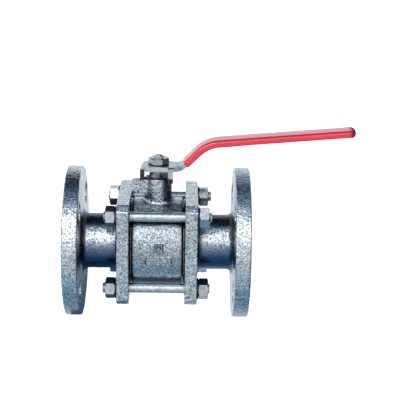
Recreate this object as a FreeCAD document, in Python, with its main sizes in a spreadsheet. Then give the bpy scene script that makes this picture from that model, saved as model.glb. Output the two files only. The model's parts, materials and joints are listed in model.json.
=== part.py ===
"""Three-piece flanged ball valve, DN 25, with a bolted body and a sleeved lever.

Frame: the origin is the ball's centre, where the flow bore and the stem cross. +X runs along the
bore towards the end that the open lever points to, +Z runs up the stem, and +Y is the back.
The valve is drawn open. All sizes are in millimetres.
"""
import FreeCAD, Part
import math
import os
import re
import Sketcher

DIMENSIONS = [
    # flanged end pieces
    ("face_to_face", 130.0),
    ("flange_diameter", 108.0),
    ("flange_thickness", 11.1),
    ("bolt_circle", 79.4),
    ("bolt_hole", 15.9),
    ("port", 25.0),
    ("neck_diameter", 39.8),
    ("neck_root", 5.0),
    ("cheek_inner", 19.4),
    ("cheek_outer", 28.45),
    ("cheek_side", 73.0),
    ("cheek_corner", 4.0),
    ("edge_round", 0.9),
    ("spigot_end", 15.5),
    ("spigot_radius", 23.9),
    ("joint_face", 17.85),
    ("joint_radius", 30.8),
    # centre body
    ("barrel_radius", 32.0),
    ("barrel_half", 17.8),
    ("cavity_radius", 20.0),
    ("counterbore_radius", 24.1),
    ("counterbore_floor", 14.5),
    ("boss_radius", 9.8),
    ("boss_top", 48.5),
    ("boss_root", 3.0),
    ("ear_end", -19.0),
    ("ear_front", -6.5),
    ("ear_back", -1.0),
    ("ear_bottom", 37.5),
    ("ear_top", 47.8),
    ("ear_slant", 2.0),
    ("relief", 0.9),
    ("tablet_side", 5.8),
    ("tablet_border", 1.1),
    ("tablet_x", 0.9),
    ("tablet_z", 5.0),
    ("bar_length", 18.0),
    ("bar_height", 5.4),
    ("bar_corner", 1.5),
    ("bar_x", 1.0),
    ("bar_z", -4.6),
    # ball and seats
    ("ball_radius", 19.0),
    ("seat_gap", 0.1),
    ("seat_inner_end", 9.2),
    ("seat_radius", 19.9),
    ("slot_half", 3.55),
    ("slot_floor", 14.6),
    # stem, from the tang up
    ("tang_half", 3.5),
    ("tang_width", 12.0),
    ("tang_bottom", 14.9),
    ("collar_radius", 7.0),
    ("collar_bottom", 20.2),
    ("collar_top", 23.4),
    ("stem_radius", 5.0),
    ("stem_shoulder", 48.3),
    ("thread_radius", 3.95),
    ("flats_half", 3.0),
    ("flats_bottom", 54.05),
    ("stem_top", 64.8),
    ("stem_dome_height", 1.0),
    ("stem_dome_width", 1.2),
    # stem seals
    ("running_gap", 0.06),
    ("seal_gap", 0.05),
    ("spring_gap", 0.2),
    ("collar_pocket_radius", 7.2),
    ("collar_pocket_top", 24.9),
    ("packing_radius", 7.5),
    ("packing_bottom", 33.0),
    ("packing_ring_height", 3.0),
    ("gland_top", 46.0),
    ("disc_spring_height", 1.2),
    ("disc_spring_plate", 0.6),
    # nuts, studs and washers
    ("nut_flats", 13.0),
    ("nut_bore", 4.0),
    ("nut_height", 6.8),
    ("nut_face_share", 0.485),
    ("nut_chamfer_share", 0.165),
    ("stem_nut_height", 5.5),
    ("lever_nut_height", 4.6),
    ("washer_radius", 7.4),
    ("washer_bore", 4.15),
    ("washer_thickness", 1.0),
    ("lever_washer_thickness", 0.6),
    ("washer_split", 0.8),
    ("stud_centre", 26.4),
    ("stud_shank_radius", 3.4),
    ("stud_half_length", 37.8),
    ("stud_thread_length", 18.0),
    ("stud_chamfer", 0.9),
    ("stud_clearance_hole", 9.0),
    ("stem_nut_gap", 0.1),
    # lever and sleeve
    ("lever_bottom", 54.15),
    ("lever_thickness", 3.4),
    ("lever_hub_end", -12.9),
    ("lever_hub_width", 19.0),
    ("lever_strap_width", 13.4),
    ("lever_neck_start", 8.0),
    ("lever_neck_end", 17.0),
    ("lever_rise", 44.7),
    ("lever_slope", 5.1),
    ("lower_bend_at", 16.1),
    ("upper_bend_at", 34.1),
    ("lower_bend_radius", 8.0),
    ("upper_bend_radius", 24.0),
    ("lever_tip", 136.6),
    ("sleeve_start", 19.0),
    ("sleeve_tip", 138.9),
    ("sleeve_width", 16.0),
    ("sleeve_thickness", 5.4),
    ("sleeve_corner", 1.7),
    ("sleeve_gap", 0.03),
    ("sleeve_nose", 5.0),
    ("sleeve_shoulder", 1.5),
    ("tab_thickness", 2.9),
    ("tab_width", 3.6),
    ("tab_bend", 2.4),
    ("tab_clearance", 0.35),
    ("front_tab_bottom", 46.8),
    ("end_tab_bottom", 48.35),
    ("end_tab_hook", 45.0),
    ("end_tab_back", 3.0),
    ("hub_slant", 2.9),
    # extra reach, so that a cut passes right through and a join overlaps
    ("overlap", 1.0),
]

doc = FreeCAD.newDocument("ball_valve")
sheet = doc.addObject("Spreadsheet::Sheet", "dims")
for row, (alias, number) in enumerate(DIMENSIONS, start=1):
    sheet.set("A%d" % row, alias.replace("_", " "))
    sheet.set("B%d" % row, str(number))
    sheet.setAlias("B%d" % row, alias)
doc.recompute()

ALIASES = re.compile(r"\b(" + "|".join(alias for alias, number in DIMENSIONS) + r")\b")
SIDES = {"left": -1, "right": 1}
LEVELS = {"upper": 1, "lower": -1}
DEPTHS = {"front": -1, "back": 1}
LONG = "4 * flange_diameter"
RADIAN = math.pi / 180


# ---------------------------------------------------------------- helpers

def bound(text):
    """Turn the dimension names in an expression into references to the sheet."""
    return ALIASES.sub(r"dims.\1", str(text))


def value(text):
    return float(sheet.evalExpression(bound(text)))


def bind(feature, prop, text):
    feature.setExpression(prop, bound(text))


def new_body(label):
    body = doc.addObject("PartDesign::Body", label)
    body.Label = label
    return body


def new_sketch(body, role, offset=None):
    """A sketch on one of the body's own origin planes, shifted along the plane's normal."""
    plane = [item for item in body.Origin.OriginFeatures if item.Role == role][0]
    sketch = body.newObject("Sketcher::SketchObject", body.Label + "_sketch")
    sketch.AttachmentSupport = [(plane, "")]
    sketch.MapMode = "FlatFace"
    if offset is not None:
        bind(sketch, ".AttachmentOffset.Base.z", offset)
    return sketch


def pin_point(sketch, geometry, end, x, y):
    """Hold a point of a sketch at expressions for its two coordinates."""
    for kind, text in (("DistanceX", x), ("DistanceY", y)):
        index = sketch.addConstraint(Sketcher.Constraint(kind, -1, 1, geometry, end, value(text)))
        sketch.setExpression("Constraints[%d]" % index, bound(text))


def polygon(sketch, points):
    """A closed outline of straight lines through points given as pairs of expressions."""
    corners = [FreeCAD.Vector(value(x), value(y), 0) for x, y in points]
    count = len(corners)
    lines = [sketch.addGeometry(Part.LineSegment(corners[i], corners[(i + 1) % count]), False)
             for i in range(count)]
    for i in range(count):
        sketch.addConstraint(Sketcher.Constraint("Coincident", lines[i], 2, lines[(i + 1) % count], 1))
    for line, (x, y) in zip(lines, points):
        pin_point(sketch, line, 1, x, y)


def circle(sketch, x, y, radius):
    centre = FreeCAD.Vector(value(x), value(y), 0)
    geometry = sketch.addGeometry(Part.Circle(centre, FreeCAD.Vector(0, 0, 1), value(radius)), False)
    index = sketch.addConstraint(Sketcher.Constraint("Radius", geometry, value(radius)))
    sketch.setExpression("Constraints[%d]" % index, bound(radius))
    pin_point(sketch, geometry, 3, x, y)


def arc_between(sketch, centre, radius, start_angle, end_angle, start_point, end_point):
    """A counter-clockwise arc whose ends lie on points of lines that are in the sketch already."""
    middle = FreeCAD.Vector(value(centre[0]), value(centre[1]), 0)
    whole = Part.Circle(middle, FreeCAD.Vector(0, 0, 1), value(radius))
    arc = sketch.addGeometry(
        Part.ArcOfCircle(whole, value(start_angle) * RADIAN, value(end_angle) * RADIAN), False)
    sketch.addConstraint(Sketcher.Constraint("Coincident", arc, 1, *start_point))
    sketch.addConstraint(Sketcher.Constraint("Coincident", arc, 2, *end_point))
    index = sketch.addConstraint(Sketcher.Constraint("Radius", arc, value(radius)))
    sketch.setExpression("Constraints[%d]" % index, bound(radius))


def straight_run(sketch, start, end):
    ends = [FreeCAD.Vector(value(x), value(z), 0) for x, z in (start, end)]
    line = sketch.addGeometry(Part.LineSegment(*ends), False)
    pin_point(sketch, line, 1, *start)
    pin_point(sketch, line, 2, *end)
    return line


def rounded_rectangle(sketch, width, height, corner, x="0", y="0"):
    """A rectangle about a centre, with quarter-round corners."""
    outer = {"left": "%s - %s / 2" % (x, width), "right": "%s + %s / 2" % (x, width),
             "low": "%s - %s / 2" % (y, height), "high": "%s + %s / 2" % (y, height)}
    inner = {"left": outer["left"] + " + " + corner, "right": outer["right"] + " - " + corner,
             "low": outer["low"] + " + " + corner, "high": outer["high"] + " - " + corner}
    lines = [straight_run(sketch, (inner["left"], outer["low"]), (inner["right"], outer["low"])),
             straight_run(sketch, (outer["right"], inner["low"]), (outer["right"], inner["high"])),
             straight_run(sketch, (inner["right"], outer["high"]), (inner["left"], outer["high"])),
             straight_run(sketch, (outer["left"], inner["high"]), (outer["left"], inner["low"]))]
    centres = [("right", "low"), ("right", "high"), ("left", "high"), ("left", "low")]
    for index, (across, up) in enumerate(centres):
        start = -90 + 90 * index
        arc_between(sketch, (inner[across], inner[up]), corner, str(start), str(start + 90),
                    (lines[index], 2), (lines[(index + 1) % 4], 1))


def rectangle(x_low, x_high, y_low, y_high):
    return [(x_low, y_low), (x_high, y_low), (x_high, y_high), (x_low, y_high)]


def profile_feature(body, kind, sketch, **settings):
    feature = body.newObject("PartDesign::" + kind, body.Label + "_" + kind.lower())
    feature.Profile = sketch
    for name, setting in settings.items():
        setattr(feature, name, setting)
    return feature


def turned(body, sketch, axis, kind="Revolution"):
    """Revolve a sketch about its own H_Axis or V_Axis, or groove with it."""
    feature = profile_feature(body, kind, sketch, ReferenceAxis=(sketch, [axis]))
    feature.Angle = 360
    doc.recompute()
    return feature


def straight(body, sketch, length, kind="Pad", symmetric=False, reverse=False):
    feature = profile_feature(body, kind, sketch, Reversed=reverse)
    if symmetric:
        feature.SideType = "Symmetric"
    bind(feature, "Length", length)
    doc.recompute()
    return feature


def cut_through(body, sketch):
    return straight(body, sketch, LONG, kind="Pocket", symmetric=True)


def dress(body, kind, prop, size, chosen):
    """Fillet or chamfer the edges of the body's tip that a test on the edge picks out."""
    tip = body.Tip
    names = ["Edge%d" % (i + 1) for i, edge in enumerate(tip.Shape.Edges) if chosen(edge)]
    feature = body.newObject("PartDesign::" + kind, body.Label + "_" + kind.lower())
    feature.Base = (tip, names)
    bind(feature, prop, size)
    doc.recompute()
    return feature


def on_circle(edge, radius, x=None, z=None):
    """True for a full circular edge of this radius, about X at x or about Z at z."""
    curve = edge.Curve
    if not isinstance(curve, Part.Circle) or abs(curve.Radius - value(radius)) > 1e-3:
        return False
    centre = edge.Curve.Center
    if x is not None:
        return abs(centre.x - value(x)) < 1e-3 and abs(abs(curve.Axis.x) - 1) < 1e-3
    return abs(centre.z - value(z)) < 1e-3 and abs(abs(curve.Axis.z) - 1) < 1e-3


def ends_at(edge, **wanted):
    """True when both ends of an edge have the wanted coordinates, such as z="boss_top"."""
    return all(abs(getattr(vertex.Point, axis) - value(text)) < 1e-3
               for vertex in edge.Vertexes for axis, text in wanted.items())


def place(body, rotation, x="0", y="0", z="0"):
    body.Placement = FreeCAD.Placement(FreeCAD.Vector(), rotation)
    for axis, text in zip("xyz", (x, y, z)):
        bind(body, ".Placement.Base." + axis, text)


def about(axis, angle):
    return FreeCAD.Rotation(FreeCAD.Vector(*axis), angle)


def ring(label, inner, outer, bottom, top):
    """A plain ring about the stem axis."""
    body = new_body(label)
    sketch = new_sketch(body, "XZ_Plane")
    polygon(sketch, rectangle(inner, outer, bottom, top))
    turned(body, sketch, "V_Axis")
    return body


# ---------------------------------------------------------------- pressure shell

def end_piece(side):
    """Flange, neck, square cheek and spigot in one casting, bored and drilled."""
    body = new_body("end_piece_" + side)
    sketch = new_sketch(body, "YZ_Plane", "cheek_inner")
    half = "cheek_side / 2"
    corner = "(cheek_side / 2 - cheek_corner)"
    polygon(sketch, [("-" + half, "-" + corner), ("-" + corner, "-" + half),
                     (corner, "-" + half), (half, "-" + corner),
                     (half, corner), (corner, half),
                     ("-" + corner, half), ("-" + half, corner)])
    straight(body, sketch, "cheek_outer - cheek_inner")

    sketch = new_sketch(body, "XZ_Plane")
    flange_back = "face_to_face / 2 - flange_thickness"
    polygon(sketch, [("spigot_end", "0"), ("face_to_face / 2", "0"),
                     ("face_to_face / 2", "flange_diameter / 2"), (flange_back, "flange_diameter / 2"),
                     (flange_back, "neck_diameter / 2"), ("cheek_inner + overlap", "neck_diameter / 2"),
                     ("cheek_inner + overlap", "joint_radius"), ("joint_face", "joint_radius"),
                     ("joint_face", "spigot_radius"), ("spigot_end", "spigot_radius")])
    turned(body, sketch, "H_Axis")
    dress(body, "Fillet", "Radius", "neck_root",
          lambda edge: on_circle(edge, "neck_diameter / 2", x=flange_back))
    dress(body, "Fillet", "Radius", "neck_root / 2",
          lambda edge: on_circle(edge, "neck_diameter / 2", x="cheek_outer"))
    rims = ("face_to_face / 2", flange_back)
    dress(body, "Fillet", "Radius", "edge_round",
          lambda edge: any(on_circle(edge, "flange_diameter / 2", x=x) for x in rims))
    dress(body, "Fillet", "Radius", "edge_round / 2",
          lambda edge: isinstance(edge.Curve, Part.Line)
          and any(ends_at(edge, x=x) for x in ("cheek_inner", "cheek_outer")))

    sketch = new_sketch(body, "YZ_Plane")
    for y in ("stud_centre", "-stud_centre"):
        for z in ("stud_centre", "-stud_centre"):
            circle(sketch, y, z, "stud_clearance_hole / 2")
    straight(body, sketch, "cheek_outer + overlap", kind="Pocket", reverse=True)
    sketch = new_sketch(body, "YZ_Plane")
    circle(sketch, "0", "0", "port / 2")
    straight(body, sketch, "face_to_face", kind="Pocket", reverse=True)

    sketch = new_sketch(body, "YZ_Plane", flange_back + " - overlap")
    circle(sketch, "bolt_circle / 2 * cos(45)", "bolt_circle / 2 * sin(45)", "bolt_hole / 2")
    cut = straight(body, sketch, "flange_thickness + 2 * overlap", kind="Pocket", reverse=True)
    pattern = body.newObject("PartDesign::PolarPattern", body.Label + "_bolt_holes")
    pattern.Originals = [cut]
    x_axis = [item for item in body.Origin.OriginFeatures if item.Role == "X_Axis"][0]
    pattern.Axis = (x_axis, [""])
    pattern.Angle = 360
    pattern.Occurrences = 4
    body.Tip = pattern
    doc.recompute()
    place(body, about((0, 0, 1), 0 if SIDES[side] > 0 else 180))
    return body


def centre_body():
    """Barrel with the stem boss, the stop ear and raised casting marks."""
    body = new_body("centre_body")
    sketch = new_sketch(body, "XZ_Plane")
    polygon(sketch, rectangle("-barrel_half", "barrel_half", "0", "barrel_radius"))
    turned(body, sketch, "H_Axis")

    sketch = new_sketch(body, "XY_Plane")
    circle(sketch, "0", "0", "boss_radius")
    straight(body, sketch, "boss_top")
    dress(body, "Fillet", "Radius", "boss_root",
          lambda edge: not isinstance(edge.Curve, (Part.Line, Part.Circle)))
    dress(body, "Fillet", "Radius", "edge_round",
          lambda edge: any(on_circle(edge, "barrel_radius", x=x)
                           for x in ("barrel_half", "-barrel_half")))

    sketch = new_sketch(body, "XZ_Plane", "-ear_back")
    polygon(sketch, [("ear_end", "ear_bottom + ear_slant"), ("ear_end + 2 * ear_slant", "ear_bottom"),
                     ("0", "ear_bottom - ear_slant"), ("0", "ear_top"),
                     ("ear_end + edge_round", "ear_top"), ("ear_end", "ear_top - edge_round")])
    straight(body, sketch, "ear_back - ear_front")

    mark_root = "barrel_radius / 2"
    sketch = new_sketch(body, "XZ_Plane", mark_root)
    for side in ("tablet_side / 2", "(tablet_side / 2 - tablet_border)"):
        polygon(sketch, rectangle("tablet_x - " + side, "tablet_x + " + side,
                                  "tablet_z - " + side, "tablet_z + " + side))
    rounded_rectangle(sketch, "bar_length", "bar_height", "bar_corner", "bar_x", "bar_z")
    straight(body, sketch, mark_root + " + relief")

    sketch = new_sketch(body, "XZ_Plane")
    polygon(sketch, [("-barrel_half - overlap", "0"), ("barrel_half + overlap", "0"),
                     ("barrel_half + overlap", "counterbore_radius"),
                     ("counterbore_floor", "counterbore_radius"),
                     ("counterbore_floor", "cavity_radius"), ("-counterbore_floor", "cavity_radius"),
                     ("-counterbore_floor", "counterbore_radius"),
                     ("-barrel_half - overlap", "counterbore_radius")])
    turned(body, sketch, "H_Axis", kind="Groove")

    sketch = new_sketch(body, "XZ_Plane")
    stem_hole = "stem_radius + running_gap"
    polygon(sketch, [("0", "slot_floor"), ("collar_pocket_radius", "slot_floor"),
                     ("collar_pocket_radius", "collar_pocket_top"), (stem_hole, "collar_pocket_top"),
                     (stem_hole, "packing_bottom"), ("packing_radius", "packing_bottom"),
                     ("packing_radius", "boss_top + overlap"), ("0", "boss_top + overlap")])
    turned(body, sketch, "V_Axis", kind="Groove")
    return body


def body_gasket(side):
    """Flat ring at the bottom of the centre body's counterbore."""
    body = new_body("body_gasket_" + side)
    sketch = new_sketch(body, "XZ_Plane")
    polygon(sketch, rectangle("counterbore_floor", "spigot_end", "cavity_radius + seal_gap",
                              "counterbore_radius - seal_gap"))
    turned(body, sketch, "H_Axis")
    place(body, about((0, 0, 1), 0 if SIDES[side] > 0 else 180))
    return body


# ---------------------------------------------------------------- ball and seats

def ball():
    body = new_body("ball")
    sphere = body.newObject("PartDesign::AdditiveSphere", "ball_sphere")
    bind(sphere, "Radius", "ball_radius")
    doc.recompute()
    sketch = new_sketch(body, "YZ_Plane")
    circle(sketch, "0", "0", "port / 2")
    cut_through(body, sketch)
    sketch = new_sketch(body, "XZ_Plane")
    polygon(sketch, rectangle("-slot_half", "slot_half", "slot_floor", "ball_radius + overlap"))
    cut_through(body, sketch)
    return body


def seat(side):
    """Soft ring with a hollow sphere face that the ball bears on."""
    body = new_body("seat_" + side)
    sketch = new_sketch(body, "XZ_Plane")
    polygon(sketch, rectangle("seat_inner_end", "spigot_end", "port / 2", "seat_radius"))
    turned(body, sketch, "H_Axis")
    sphere = body.newObject("PartDesign::SubtractiveSphere", "seat_sphere")
    bind(sphere, "Radius", "ball_radius + seat_gap")
    doc.recompute()
    place(body, about((0, 0, 1), 0 if SIDES[side] > 0 else 180))
    return body


# ---------------------------------------------------------------- stem and its seals

def stem():
    """Blow-out-proof stem: tang, collar, shaft, thread with two flats and a domed end."""
    body = new_body("stem")
    sketch = new_sketch(body, "XZ_Plane")
    polygon(sketch, [("0", "collar_bottom"), ("collar_radius", "collar_bottom"),
                     ("collar_radius", "collar_top"), ("stem_radius", "collar_top"),
                     ("stem_radius", "stem_shoulder"), ("thread_radius", "stem_shoulder"),
                     ("thread_radius", "stem_top - stem_dome_height"),
                     ("thread_radius - stem_dome_width", "stem_top"), ("0", "stem_top")])
    turned(body, sketch, "V_Axis")
    sketch = new_sketch(body, "XZ_Plane")
    polygon(sketch, rectangle("-tang_half", "tang_half", "tang_bottom", "collar_bottom + overlap"))
    straight(body, sketch, "tang_width", symmetric=True)
    sketch = new_sketch(body, "YZ_Plane")
    for side in ("", "-"):
        polygon(sketch, rectangle(side + "flats_half", side + "stem_radius",
                                  "flats_bottom", "stem_top + overlap"))
    cut_through(body, sketch)
    return body


def disc_spring(label, outer_z, inner_z):
    """A coned washer, from the height of its outer rim to that of its inner rim."""
    body = new_body(label)
    sketch = new_sketch(body, "XZ_Plane")
    outer = "packing_radius - spring_gap"
    inner = "stem_radius + spring_gap"
    polygon(sketch, [(inner, inner_z), (outer, outer_z), (outer, outer_z + " + disc_spring_plate"),
                     (inner, inner_z + " + disc_spring_plate")])
    turned(body, sketch, "V_Axis")
    return body


def stem_seals():
    ring("stem_thrust_washer", "stem_radius + seal_gap", "collar_radius", "collar_top + seal_gap",
         "collar_pocket_top")
    for index, name in enumerate(("lower", "middle", "upper")):
        bottom = "packing_bottom + %d * packing_ring_height" % index
        ring("stem_packing_" + name, "stem_radius + seal_gap", "packing_radius - seal_gap", bottom,
             bottom + " + packing_ring_height")
    ring("gland_ring", "stem_radius + running_gap", "packing_radius - running_gap",
         "packing_bottom + 3 * packing_ring_height", "gland_top")
    rest = "gland_top + seal_gap"
    step = "disc_spring_height - disc_spring_plate"
    disc_spring("disc_spring_lower", rest, rest + " + " + step)
    disc_spring("disc_spring_upper", rest + " + disc_spring_height + " + step,
                rest + " + disc_spring_height")


# ---------------------------------------------------------------- fasteners

def hex_nut(label, height):
    """A nut standing on its own XY plane, with both faces chamfered at 30 degrees."""
    body = new_body(label)
    prism = body.newObject("PartDesign::AdditivePrism", label + "_prism")
    prism.Polygon = 6
    bind(prism, "Circumradius", "nut_flats / 2 / cos(30)")
    bind(prism, "Height", height)
    doc.recompute()
    sketch = new_sketch(body, "XZ_Plane")
    inner = "nut_flats * nut_face_share"
    outer = "nut_flats * (nut_face_share + nut_chamfer_share)"
    drop = "nut_flats * nut_chamfer_share * tan(30)"
    polygon(sketch, [(inner, height), (outer, height), (outer, height + " - " + drop)])
    polygon(sketch, [(inner, "0"), (outer, "0"), (outer, drop)])
    polygon(sketch, rectangle("0", "nut_bore", "-overlap", height + " + overlap"))
    turned(body, sketch, "V_Axis", kind="Groove")
    return body


def split_washer(label, thickness):
    """A flattened spring lock washer on its own XY plane, cut through at one side."""
    body = new_body(label)
    sketch = new_sketch(body, "XZ_Plane")
    polygon(sketch, rectangle("washer_bore", "washer_radius", "0", thickness))
    turned(body, sketch, "V_Axis")
    sketch = new_sketch(body, "XY_Plane")
    polygon(sketch, rectangle("0", "washer_radius + overlap", "-washer_split / 2", "washer_split / 2"))
    cut_through(body, sketch)
    return body


def stud(level, depth, shift):
    """Rolled-thread stud along its own Z, with chamfered ends, laid along the bore."""
    body = new_body("body_stud_%s_%s" % (level, depth))
    sketch = new_sketch(body, "XZ_Plane")
    thread = "stud_half_length - stud_thread_length"
    end_radius = "thread_radius - stud_chamfer"
    polygon(sketch, [("0", "-stud_half_length"), (end_radius, "-stud_half_length"),
                     ("thread_radius", "-stud_half_length + stud_chamfer"),
                     ("thread_radius", "-(" + thread + ")"), ("stud_shank_radius", "-(" + thread + ")"),
                     ("stud_shank_radius", thread), ("thread_radius", thread),
                     ("thread_radius", "stud_half_length - stud_chamfer"),
                     (end_radius, "stud_half_length"), ("0", "stud_half_length")])
    turned(body, sketch, "V_Axis")
    y = "%d * stud_centre" % DEPTHS[depth]
    z = "%d * stud_centre" % LEVELS[level]
    place(body, about((0, 1, 0), 90), str(shift), y, z)


def body_fasteners():
    """Four studs, each with a split washer and a nut at both ends.

    Each stud has its own small shift along X, and each nut its own turn, as tightening left them.
    """
    shifts = {("upper", "front"): 0.2, ("upper", "back"): 0.7,
              ("lower", "front"): -0.5, ("lower", "back"): 0.3}
    turns = {("left", "upper", "front"): 12, ("left", "lower", "front"): 12,
             ("left", "upper", "back"): 28, ("left", "lower", "back"): 41,
             ("right", "upper", "front"): 36, ("right", "upper", "back"): 36,
             ("right", "lower", "front"): 10, ("right", "lower", "back"): 49}
    for (level, depth), shift in shifts.items():
        stud(level, depth, shift)
    for (side, level, depth), turn in turns.items():
        sign = SIDES[side]
        y = "%d * stud_centre" % DEPTHS[depth]
        z = "%d * stud_centre" % LEVELS[level]
        along = about((0, 1, 0), 90 * sign)
        washer = split_washer("stud_washer_%s_%s_%s" % (side, level, depth), "washer_thickness")
        place(washer, along * about((0, 0, 1), 3 * turn), "%d * cheek_outer" % sign, y, z)
        nut = hex_nut("stud_nut_%s_%s_%s" % (side, level, depth), "nut_height")
        place(nut, along * about((0, 0, 1), -sign * turn),
              "%d * (cheek_outer + washer_thickness)" % sign, y, z)


# ---------------------------------------------------------------- lever

STRAP_MIDDLE = "(lever_bottom + lever_thickness / 2)"
LOWER_SETBACK = "(lower_bend_radius * tan(lever_rise / 2))"
UPPER_SETBACK = "(upper_bend_radius * tan((lever_rise - lever_slope) / 2))"
UPPER_CORNER = "(%s + (upper_bend_at - lower_bend_at) * tan(lever_rise))" % STRAP_MIDDLE
SLEEVE_START = ("sleeve_start", "(%s + (sleeve_start - lower_bend_at) * tan(lever_rise))" % STRAP_MIDDLE)


def strap_line(body, tip, from_sleeve=False):
    """The strap's middle line: flat hub, bend, steep rise, bend, long shallow arm.

    With from_sleeve the line begins on the rise, where the sleeve begins.
    """
    sketch = new_sketch(body, "XZ_Plane")
    rise_start = ("lower_bend_at + %s * cos(lever_rise)" % LOWER_SETBACK,
                  "%s + %s * sin(lever_rise)" % (STRAP_MIDDLE, LOWER_SETBACK))
    rise_end = ("upper_bend_at - %s * cos(lever_rise)" % UPPER_SETBACK,
                "%s - %s * sin(lever_rise)" % (UPPER_CORNER, UPPER_SETBACK))
    arm_start = ("upper_bend_at + %s * cos(lever_slope)" % UPPER_SETBACK,
                 "%s + %s * sin(lever_slope)" % (UPPER_CORNER, UPPER_SETBACK))
    arm_end = (tip, "%s + (%s - upper_bend_at) * tan(lever_slope)" % (UPPER_CORNER, tip))
    rise = straight_run(sketch, SLEEVE_START if from_sleeve else rise_start, rise_end)
    arm = straight_run(sketch, arm_start, arm_end)
    centre = (rise_end[0] + " + upper_bend_radius * sin(lever_rise)",
              rise_end[1] + " - upper_bend_radius * cos(lever_rise)")
    arc_between(sketch, centre, "upper_bend_radius", "90 + lever_slope", "90 + lever_rise",
                (arm, 1), (rise, 2))
    if not from_sleeve:
        hub_end = ("lower_bend_at - %s" % LOWER_SETBACK, STRAP_MIDDLE)
        hub = straight_run(sketch, ("lever_hub_end", STRAP_MIDDLE), hub_end)
        centre = (hub_end[0], STRAP_MIDDLE + " + lower_bend_radius")
        arc_between(sketch, centre, "lower_bend_radius", "-90", "lever_rise - 90",
                    (hub, 2), (rise, 1))
    doc.recompute()
    return sketch


def swept(body, section, path, kind="AdditivePipe"):
    pipe = body.newObject("PartDesign::" + kind, body.Label + "_" + kind.lower())
    pipe.Profile = section
    pipe.Spine = path
    doc.recompute()
    return pipe


def double_d(sketch, radius, flat):
    """A round outline with two flats facing along the sketch's second axis."""
    reach = "sqrt((%s) ^ 2 - (%s) ^ 2)" % (radius, flat)
    top = straight_run(sketch, ("-" + reach, flat), (reach, flat))
    bottom = straight_run(sketch, (reach, "-(%s)" % flat), ("-" + reach, "-(%s)" % flat))
    angle = "(asin((%s) / (%s)) / 1 deg)" % (flat, radius)
    arc_between(sketch, ("0", "0"), radius, "-" + angle, angle, (bottom, 1), (top, 2))
    arc_between(sketch, ("0", "0"), radius, "180 - " + angle, "180 + " + angle, (top, 1), (bottom, 2))


def lever():
    """Bent steel strap with a wide hub, two stop tabs and a hole that fits the stem's flats."""
    body = new_body("lever")
    section = new_sketch(body, "YZ_Plane", "lever_hub_end")
    hub_half = "lever_hub_width / 2"
    top = "lever_bottom + lever_thickness"
    polygon(section, rectangle("-" + hub_half, hub_half, "lever_bottom", top))
    swept(body, section, strap_line(body, "lever_tip"))

    sketch = new_sketch(body, "XY_Plane")
    for side in ("", "-"):
        polygon(sketch, [("lever_neck_start", side + "(%s + overlap)" % hub_half),
                         ("lever_neck_start", side + hub_half),
                         ("lever_neck_end", side + "lever_strap_width / 2"),
                         ("lever_tip + overlap", side + "lever_strap_width / 2"),
                         ("lever_tip + overlap", side + "(%s + overlap)" % hub_half)])
    cut_through(body, sketch)

    # end tab: over the ear in front, and hooked down behind it
    sketch = new_sketch(body, "YZ_Plane", "lever_hub_end")
    hook_front = "ear_back + tab_clearance"
    polygon(sketch, [("-" + hub_half, "end_tab_bottom"), (hook_front, "end_tab_bottom"),
                     (hook_front, "end_tab_hook"), ("end_tab_back", "end_tab_hook"),
                     ("end_tab_back", "lever_bottom + overlap"),
                     ("-" + hub_half, "lever_bottom + overlap")])
    straight(body, sketch, "tab_thickness")
    # front tab: it meets the front of the ear after a quarter turn
    tab_left = "tab_clearance - ear_front"
    tab_front = "-%s - tab_thickness" % hub_half
    sketch = new_sketch(body, "XZ_Plane", hub_half + " - overlap")
    polygon(sketch, rectangle(tab_left, tab_left + " + tab_width", "lever_bottom", top))
    straight(body, sketch, "tab_thickness + overlap")
    sketch = new_sketch(body, "XZ_Plane", hub_half)
    polygon(sketch, rectangle(tab_left, tab_left + " + tab_width", "front_tab_bottom",
                              "lever_bottom + overlap"))
    straight(body, sketch, "tab_thickness")
    dress(body, "Fillet", "Radius", "tab_bend",
          lambda edge: ends_at(edge, z=top) and (ends_at(edge, x="lever_hub_end")
                                                 or ends_at(edge, y=tab_front)))

    sketch = new_sketch(body, "XY_Plane")
    polygon(sketch, [("lever_hub_end", "ear_back"), ("lever_hub_end + hub_slant", hub_half),
                     ("lever_hub_end + hub_slant", hub_half + " + overlap"),
                     ("lever_hub_end - overlap", hub_half + " + overlap"),
                     ("lever_hub_end - overlap", "ear_back")])
    double_d(sketch, "thread_radius + seal_gap", "flats_half + seal_gap")
    cut_through(body, sketch)
    return body


def lever_sleeve():
    """Dipped plastic grip, closed at the tip, on the strap from the rise outwards."""
    body = new_body("lever_sleeve")

    def section_across_rise():
        sketch = new_sketch(body, "YZ_Plane", SLEEVE_START[0])
        bind(sketch, ".AttachmentOffset.Base.y", SLEEVE_START[1])
        sketch.AttachmentOffset = FreeCAD.Placement(sketch.AttachmentOffset.Base,
                                                    about((1, 0, 0), -value("lever_rise")))
        return sketch

    section = section_across_rise()
    rounded_rectangle(section, "sleeve_width", "sleeve_thickness", "sleeve_corner")
    swept(body, section, strap_line(body, "sleeve_tip", from_sleeve=True))
    sketch = new_sketch(body, "XY_Plane")
    half = "sleeve_width / 2"
    past_tip = "sleeve_tip + 2 * overlap"
    for side in ("", "-"):
        beyond = side + "(%s + overlap)" % half
        nose_half = side + "(%s - sleeve_nose)" % half
        polygon(sketch, [("sleeve_tip - sleeve_nose", beyond), ("sleeve_tip - sleeve_nose", side + half),
                         ("sleeve_tip - sleeve_shoulder", side + "(%s - sleeve_shoulder)" % half),
                         ("sleeve_tip", nose_half), (past_tip, nose_half), (past_tip, beyond)])
    cut_through(body, sketch)
    section = section_across_rise()
    half_width = "(lever_strap_width / 2 + sleeve_gap)"
    half_height = "(lever_thickness / 2 + sleeve_gap)"
    polygon(section, rectangle("-" + half_width, half_width, "-" + half_height, half_height))
    swept(body, section, strap_line(body, "lever_tip + sleeve_gap", from_sleeve=True), kind="SubtractivePipe")
    return body


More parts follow.
